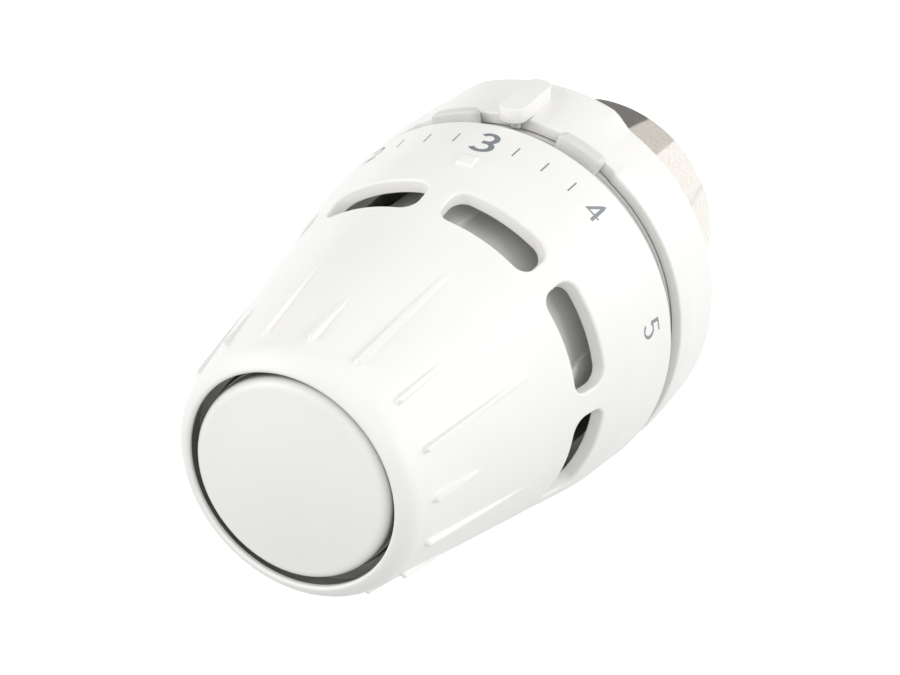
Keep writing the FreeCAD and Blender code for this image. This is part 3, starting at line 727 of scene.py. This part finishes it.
def stroke(points, width):
    """Quads, in mm, of a printed line along a run of points."""
    rails = []
    for index, here in enumerate(points):
        before = points[max(index - 1, 0)]
        after = points[min(index + 1, len(points) - 1)]
        first = (here - before).normalized() if index else (after - here).normalized()
        second = (
            (after - here).normalized() if index < len(points) - 1 else first.copy()
        )
        along = (first + second).normalized()
        side = Vector((-along.y, along.x))
        stretch = 1 / max(0.5, along.dot(second))
        rails.append(
            (here + side * width / 2 * stretch, here - side * width / 2 * stretch)
        )
    return [(a[0], b[0], b[1], a[1]) for a, b in zip(rails, rails[1:])]


def bend_line(x, y, x_radius, y_radius, start, end, parts=28):
    """Points of an elliptic arc."""
    points = []
    for index in range(parts + 1):
        turn = math.radians(start + (end - start) * index / parts)
        points.append(Vector((x + x_radius * math.cos(turn), y + y_radius * math.sin(turn))))
    return points


def run_line(*corners):
    """Points along straight legs."""
    points = [Vector(corners[0])]
    for first, second in zip(corners, corners[1:]):
        points += [Vector(first).lerp(Vector(second), i / 8) for i in range(1, 9)]
    return points


def digit_lines(digit):
    """Centre lines of a numeral in a box two units wide and three high."""
    lines = {
        0: [bend_line(0, 1.5, 0.85, 1.4, 0, 360, 48)],
        1: [run_line((-0.6, 2.35), (0.15, 2.85), (0.15, 0.1))],
        2: [
            bend_line(0, 2.0, 0.85, 0.85, 165, -35, 30)
            + run_line((0.6, 1.4), (-0.85, 0.13), (0.95, 0.13))
        ],
        3: [
            bend_line(-0.05, 2.18, 0.78, 0.70, 150, -88, 30),
            bend_line(-0.05, 0.82, 0.92, 0.72, 88, -152, 30),
            run_line((-0.35, 1.5), (0.05, 1.5)),
        ],
        4: [
            run_line((0.45, 0.0), (0.45, 2.85), (-0.95, 0.85), (1.05, 0.85)),
        ],
        5: [
            run_line((0.8, 2.85), (-0.62, 2.85), (-0.7, 1.6)),
            bend_line(-0.05, 0.97, 0.88, 0.85, 138, -145, 34),
        ],
    }
    return lines[digit]


def print_on_handle(builder, quads, angle, middle, scale):
    """Lay printed quads on the handle. Numerals read with their heads to the rear."""
    lift = 0.012
    for quad in quads:
        corners = []
        for corner_point in quad:
            station = middle - corner_point.y * scale[1]
            radius = cone(station) + lift
            turn = angle + math.degrees(corner_point.x * scale[0] / radius)
            corners.append(builder.verts.new(place(turn, radius, station)))
        builder.faces.new(corners)


def printed(name, builder, material):
    """Finish a printed piece that turns with the handle."""
    obj = to_object(name, builder)
    obj.data.materials.append(material)
    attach(obj, "handle")
    return obj


def scale_print():
    """Numerals 0 to 5 and the ticks on both sides of the bold 3."""
    plain = bmesh.new()
    bold = bmesh.new()
    for digit in range(6):
        is_bold = digit == 3
        # The strokes that run along the axis are the heavier ones.
        weight, spread = (0.62, 1.15) if is_bold else (0.27, 1.6)
        width, height = (1.28, 1.42) if is_bold else (0.95, 1.16)
        for line in digit_lines(digit):
            centred = [
                Vector((p.x * width / spread, (p.y - 1.5) * height)) for p in line
            ]
            print_on_handle(
                bold if is_bold else plain,
                stroke(centred, weight),
                (digit - 3) * SCALE_PITCH,
                SCALE_MIDDLE - 0.1,
                (spread, 1),
            )
    for side in (-1, 1):
        for tick in (1, 2, 3):
            line = run_line((0, -TICK_HALF), (0, TICK_HALF))
            print_on_handle(
                plain,
                stroke(line, TICK_WIDTH),
                side * tick * SCALE_PITCH / 4,
                SCALE_MIDDLE - 0.2,
                (1, 1),
            )
    printed("scale_numerals", plain, PRINT)
    printed("scale_numeral_bold", bold, BOLD_PRINT)


# ---------------------------------------------------------------- end cap

CAP_FLAT_ANGLE = -48
CAP_FLAT = 11.4
CAP_RADIUS = 11.85
CAP_DOME_RADIUS = 9.4
CAP_REAR, CAP_FRONT = span("end_cap")


def end_cap():
    """A domed cap with two gentle flats, a flange and two hooked legs."""
    flange = CAP_REAR + 2.85
    top = CAP_FRONT
    rim = top - 0.85
    legs = (CAP_FLAT_ANGLE - 90, CAP_FLAT_ANGLE + 90)

    def section(angle):
        dome = [
            Vector((CAP_DOME_RADIUS * i / 20, top - (top - rim) * (i / 20) ** 2))
            for i in range(20)
        ]
        body = rounded(
            [
                (CAP_DOME_RADIUS, rim),
                (CAP_RADIUS, rim - 0.3, 1.5),
                (CAP_RADIUS, flange + 0.6, 0.25),
                (12.15, flange + 0.6, 0.12),
                (12.15, flange, 0.12),
                (11.7, flange),
            ],
            parts=10,
            closed=False,
        )
        nearest = min(abs((angle - leg + 180) % 360 - 180) for leg in legs)
        hook = ease((13.5 - nearest) / 0.5)
        foot = [(11.7, 74.95), (12.12, 74.9), (12.12, 74.5), (11.4, 73.7), (10.3, 73.7)]
        leg_points = [
            Vector((11.7 + (r - 11.7) * hook, flange + (s - flange) * hook))
            for r, s in foot[:-1]
        ]
        leg_points.append(Vector((10.3, flange + (73.7 - flange) * hook)))
        under = [
            Vector((9.9, flange)),
            Vector((9.9, rim - 2.1)),
            Vector((9.4, rim - 1.6)),
            Vector((0, top - 1.6)),
        ]
        # The outline leans smoothly from the full radius to each flat.
        lean = abs(math.cos(math.radians(angle - CAP_FLAT_ANGLE)))
        squeeze = 1 - (1 - CAP_FLAT / CAP_RADIUS) * lean**4
        points = dome + body
        flattened = [Vector((p.x * squeeze, p.y)) for p in points]
        return flattened + leg_points + under

    obj = lathe("cap_moulding", section, count=480, open_section=True)
    return stand_for(obj, "end_cap")


# ---------------------------------------------------------------- collar and pointer

COLLAR_REAR, COLLAR_FRONT = span("collar_cover")
NOTCH_DEPTH = 0.6
COLLAR_BORE = 22.6
COLLAR_RADIUS = 24.4


def collar_section(angle):
    """Section of the collar, with the notch and the crown blended in near the top."""
    angle = (angle + 180) % 360 - 180
    on_right = angle > 0
    angle = abs(angle)
    notch = 1 - ease((angle - 31.6) / 3.2)
    crown = 1 - ease((angle - 19) / (9 if on_right else 16))
    front = COLLAR_FRONT - NOTCH_DEPTH * notch
    lip = front - 0.35 + 0.3 * notch
    path = [
        (24.0, front, 0.25),
        (24.34, front - 2.6, 1.0),
        (COLLAR_RADIUS + 0.35 * crown, front - 5.2, 2.0),
        (COLLAR_RADIUS + 1.15 * crown, COLLAR_REAR + 6.2, 1.5),
        (17.9 + 0.8 * crown, COLLAR_REAR + 0.35, 0.35),
        (17.45, COLLAR_REAR, 0.2),
        (17.45, COLLAR_REAR + 1.6, 0.3),
        (20.8, COLLAR_REAR + 6.35, 0.4),
        (COLLAR_BORE, COLLAR_REAR + 6.75, 0.4),
        (COLLAR_BORE, lip, 0.05),
    ]
    return rounded(path, parts=7)


def collar_cover():
    """The collar shell, with more columns where its shape changes."""
    angles = []
    angle = -180.0
    while angle < 180:
        angles.append(angle)
        near = abs(angle + 0.01)
        angle += 0.35 if near < 36 else 1.2
    builder = bmesh.new()
    columns = [
        [place(a, p[0], p[1]) for p in collar_section(a)] for a in angles
    ]
    skin(builder, columns, True, True)
    return stand_for(to_object("collar_moulding", builder, 45), "collar_cover")


def stadium(half_width, rear, front, parts=28):
    """Outline of a slot with full round ends, in (sideways, station) mm."""
    points = []
    for centre, start in ((front - half_width, 0), (rear + half_width, 180)):
        for index in range(parts + 1):
            turn = math.radians(start + 180 * index / parts)
            points.append(
                Vector(
                    (half_width * math.cos(turn), centre + half_width * math.sin(turn))
                )
            )
    return points


def slab(builder, outline_at, levels):
    """A closed block. Levels are (height, inset) pairs from the bottom to the top."""
    rows = []
    for height, inset in levels:
        rows.append(
            [(p.x * MM, -p.y * MM, height * MM) for p in outline_at(inset)]
        )
    verts = skin(builder, rows, False, True)
    builder.faces.new(list(reversed(verts[0])))
    builder.faces.new(verts[-1])


def pointer_tab():
    """The pointer: a sloping tab, the body under it and the web at its front."""
    rear, front = span("pointer_tab")
    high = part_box("pointer_tab")[1]
    top = high.z / MM
    half = high.x / MM + 0.2
    rear += 0.5
    front -= 0.15
    under = top - 2.5
    fall = 0.8
    builder = bmesh.new()
    edge = 0.16
    levels = [(under, 0.08), (under + 0.03, 0.03), (under + 0.08, 0.0)]
    levels += [
        (
            top - edge + edge * math.sin(math.radians(90 * i / 6)),
            edge * (1 - math.cos(math.radians(90 * i / 6))),
        )
        for i in range(7)
    ]
    slab(builder, lambda inset: stadium(half - inset, rear + inset, front - inset), levels)
    # The upper part leans: its front end stands lower than its rear end.
    for vert in builder.verts:
        height = (vert.co.z / MM - under) / (top - under)
        along = (-vert.co.y / MM - rear) / (front - rear)
        vert.co.z -= fall * MM * along * max(0.0, height)
    body_front = COLLAR_FRONT - NOTCH_DEPTH
    slab(
        builder,
        lambda inset: stadium(half - 0.1 - inset, rear + 0.1 + inset, body_front - inset),
        [(23.4, 0), (under + 0.3, 0)],
    )
    web = 0.6
    web_rear, web_front = COLLAR_FRONT - 1.3, COLLAR_FRONT - 0.1
    slab(
        builder,
        lambda inset: [
            Vector((-web, web_rear)),
            Vector((web, web_rear)),
            Vector((web, web_front - 0.2)),
            Vector((web - 0.2, web_front)),
            Vector((0.2 - web, web_front)),
            Vector((-web, web_front - 0.2)),
        ],
        [(22.7, 0), (under + 0.3, 0)],
    )
    return stand_for(to_object("pointer_moulding", builder, 50), "pointer_tab")


def limiter(name, node, angle):
    """A limiter ring with its rounded finger tab."""
    bore, outer, thickness = 20.95, 22.4, 1.0
    ring_rear = 30.5 if node == "min_limit_ring" else 31.6
    ring = lathe(
        name,
        rounded(
            [
                (bore, ring_rear, 0.1),
                (outer, ring_rear, 0.1),
                (outer, ring_rear + thickness, 0.1),
                (bore, ring_rear + thickness, 0.1),
            ],
            parts=3,
        ),
        count=256,
    )
    half, ends = 7.5, 1.9
    angles = [angle - half + 2 * half * i / 90 for i in range(91)]

    def tab_section(at):
        inset = half - abs(at - angle)
        pull = 0.0
        if inset < ends:
            pull = 0.65 * (1 - math.sqrt(1 - (1 - inset / ends) ** 2))
        return rounded(
            [
                (22.0, 29.7 + pull, 0.1),
                (24.7 - pull, 29.7 + pull, 0.45),
                (24.6 - pull, 31.6 - pull, 0.35),
                (22.0, 31.7 - pull, 0.1),
            ],
            parts=6,
        )

    tab = lathe(name + "_tab", tab_section, angles=angles)
    merge(ring, tab)
    ring.data.shade_smooth()
    ring.data.set_sharp_from_angle(angle=math.radians(50))
    return stand_for(ring, node)


# ---------------------------------------------------------------- union nut

THREAD_PITCH = 1.5
THREAD_END = 6.9
THREAD_MINOR, THREAD_MAJOR = 14.19, 15.0


def union_nut():
    """The smooth nut with its helical thread and the groove for the snap ring."""
    rear, front = span("union_nut")
    outer = reach("union_nut")
    bore, groove = 12.5, 14.7

    def thread(angle, station):
        turn = (station / THREAD_PITCH - angle / 360) % 1
        wave = min(1.0, max(0.0, (abs(turn - 0.5) * 2 - 0.125) / 0.75))
        fade = ease((THREAD_END - 0.3 - station) / 0.8) * ease(station / 0.8 + 0.2)
        return THREAD_MINOR + (THREAD_MAJOR - THREAD_MINOR) * wave * fade

    def section(angle):
        shell = rounded(
            [
                (THREAD_MINOR + 0.9, rear, 0.1),
                (outer, rear, 0.2),
                (outer, front, 0.7),
                (groove, front, 0.25),
                (groove, 11.0, 0.2),
                (bore, 11.0, 0.1),
                (bore, 8.6, 0.1),
                (groove, 8.6, 0.1),
                (groove, THREAD_END, 0.1),
                (THREAD_MINOR, THREAD_END),
            ],
            closed=False,
        )
        steps = 92
        wall = []
        for index in range(steps + 1):
            station = THREAD_END - 0.05 - (THREAD_END - 0.7) * index / steps
            wall.append(Vector((thread(angle, station), station)))
        return shell + wall

    obj = lathe("nut_turning", section, count=240)
    return stand_for(obj, "union_nut")


# ---------------------------------------------------------------- springs and bellows


def squeezed(node, name):
    """A copy of a coil's or bellows' CAD mesh that takes the place of its node; it keeps the CAD
    shape.
    """
    source = frame["nodes"][node]
    obj = bpy.data.objects.new(name, source.data.copy())
    scene.collection.objects.link(obj)
    obj.matrix_world = source.matrix_world
    obj.data.materials.clear()
    stand_for(obj, node)
    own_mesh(obj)


# ---------------------------------------------------------------- build

setting_handle()
scale_print()
end_cap()
collar_cover()
pointer_tab()
limiter("min_ring_moulding", "min_limit_ring", -18.5)
limiter("max_ring_moulding", "max_limit_ring", 22.0)
union_nut()
squeezed("overtravel_spring", "overtravel_coil")
squeezed("rod_spring", "rod_coil")
squeezed("bellows", "bellows_folds")

# ---------------------------------------------------------------- studio


def emission(name, colour):
    """A material that glows evenly."""
    material = bpy.data.materials.new(name)
    material.use_nodes = True
    nodes = material.node_tree.nodes
    nodes.clear()
    glow = nodes.new("ShaderNodeEmission")
    glow.inputs["Color"].default_value = (*colour, 1)
    out = nodes.new("ShaderNodeOutputMaterial")
    material.node_tree.links.new(glow.outputs["Emission"], out.inputs["Surface"])
    return material


def card(name, corners, material, reflections_only=True):
    """A flat panel of the studio."""
    mesh = bpy.data.meshes.new(name)
    mesh.from_pydata(corners, [], [(0, 1, 2, 3)])
    mesh.materials.append(material)
    obj = bpy.data.objects.new(name, mesh)
    scene.collection.objects.link(obj)
    if reflections_only:
        obj.visible_camera = False
        obj.visible_diffuse = False
        obj.visible_shadow = False
        obj.visible_transmission = False
    return obj


FLOOR_HEIGHT = -0.034
FLOOR_REACH = 6
FLOOR_SEEN = 0.8
FLOOR_MIRRORED = 0.8
FLOOR_BOUNCE = 0.05
WORLD_MIRRORED = 1.25
WORLD_LIGHT = 0.767


def by_ray(tree, seen, mirrored, other):
    """A strength that differs for camera rays, reflected rays and all other rays."""
    rays = tree.nodes.new("ShaderNodeLightPath")
    for_camera = remap(tree, rays.outputs["Is Camera Ray"], other, seen, 0, 1)
    for_mirror = remap(tree, rays.outputs["Is Glossy Ray"], 0, mirrored - other, 0, 1)
    total = tree.nodes.new("ShaderNodeMath")
    tree.links.new(for_camera, total.inputs[0])
    tree.links.new(for_mirror, total.inputs[1])
    return total.outputs["Value"]


floor_tree, floor_surface, floor_material = shader("studio_floor", 0.9)
floor_tree.links.new(
    tint(floor_tree, noise(floor_tree, 40, 2.0), (0.39, 0.39, 0.39), (0.41, 0.41, 0.41)),
    floor_surface.inputs["Base Color"],
)
floor_surface.inputs["Specular IOR Level"].default_value = 0.0
floor_surface.inputs["Emission Color"].default_value = (1, 1, 1, 1)
floor_tree.links.new(
    by_ray(floor_tree, FLOOR_SEEN, FLOOR_MIRRORED, FLOOR_BOUNCE),
    floor_surface.inputs["Emission Strength"],
)
card(
    "floor",
    [
        (-FLOOR_REACH, -FLOOR_REACH, FLOOR_HEIGHT),
        (FLOOR_REACH, -FLOOR_REACH, FLOOR_HEIGHT),
        (FLOOR_REACH, FLOOR_REACH, FLOOR_HEIGHT),
        (-FLOOR_REACH, FLOOR_REACH, FLOOR_HEIGHT),
    ],
    floor_material,
    reflections_only=False,
)

PANEL_HEIGHT = 0.5
PANEL_NEAR, PANEL_FAR = 0.1, 2.6
DARK_PANEL_LEFT, PANEL_SEAM, MID_PANEL_RIGHT = -1.2, -0.03, 0.335


def overhead_panel(name, left, right, colour):
    """A glowing panel over the nut, seen only in its reflection."""
    corners = [
        (left, PANEL_NEAR, PANEL_HEIGHT),
        (right, PANEL_NEAR, PANEL_HEIGHT),
        (right, PANEL_FAR, PANEL_HEIGHT),
        (left, PANEL_FAR, PANEL_HEIGHT),
    ]
    card(name, corners, emission(name + "_glow", colour))


overhead_panel("dark_panel", DARK_PANEL_LEFT, PANEL_SEAM, (0.25, 0.25, 0.245))
overhead_panel("mid_panel", PANEL_SEAM, MID_PANEL_RIGHT, (0.81, 0.79, 0.755))

world = bpy.data.worlds.new("studio")
scene.world = world
world.use_nodes = True
backdrop = world.node_tree.nodes["Background"]
backdrop.inputs["Color"].default_value = (1.0, 1.0, 1.0, 1)
world.node_tree.links.new(
    by_ray(world.node_tree, 1.0, WORLD_MIRRORED, WORLD_LIGHT), backdrop.inputs["Strength"]
)


LIGHT_DISTANCE = 0.9
LIGHT_SIZE = 0.6
LIGHT_TARGET = (0, -0.045, 0)


def area_light(name, direction, power):
    """A round soft light that faces the middle of the object."""
    data = bpy.data.lights.new(name, "AREA")
    data.shape = "DISK"
    data.size = LIGHT_SIZE
    data.energy = power
    lamp = bpy.data.objects.new(name, data)
    scene.collection.objects.link(lamp)
    away = Vector(direction).normalized()
    lamp.location = Vector(LIGHT_TARGET) + away * LIGHT_DISTANCE
    lamp.rotation_mode = "QUATERNION"
    lamp.rotation_quaternion = away.to_track_quat("Z", "Y")


area_light("front_left_light", (-0.8, -0.7, 0.45), 2.76)
area_light("right_light", (1, -0.1, 0.25), 1.83)
area_light("front_right_light", (0.5, -0.9, 0.35), 0.75)
area_light("back_right_light", (0.75, 0.7, 0.5), 1.7)

scene.view_settings.view_transform = "Standard"
scene.cycles.diffuse_bounces = 8

# The camera stands at the photographed angle; the third turn is its roll about the axis.
camera_data = bpy.data.cameras.new("camera")
camera = bpy.data.objects.new("camera", camera_data)
scene.collection.objects.link(camera)
scene.camera = camera
azimuth, elevation, roll_angle = (math.radians(turn) for turn in (27.39, 26.69, -3.7))
right = Vector((math.cos(azimuth), math.sin(azimuth), 0))
back = Vector(
    (
        math.sin(azimuth) * math.cos(elevation),
        -math.cos(azimuth) * math.cos(elevation),
        math.sin(elevation),
    )
)
up = back.cross(right)
roll = Matrix.Rotation(roll_angle, 3, "Y")
axes = roll @ Matrix((right, up, back)).transposed()
aim = Vector((0, -HANDLE_REAR * MM, 0))
camera.matrix_world = axes.to_4x4()
camera.location = aim + axes @ Vector((-4.91, -3.75, 210.5)) * MM
camera_data.lens = 68.0
camera_data.sensor_width = 36.0
camera_data.clip_start = 0.01
camera_data.clip_end = 30.0
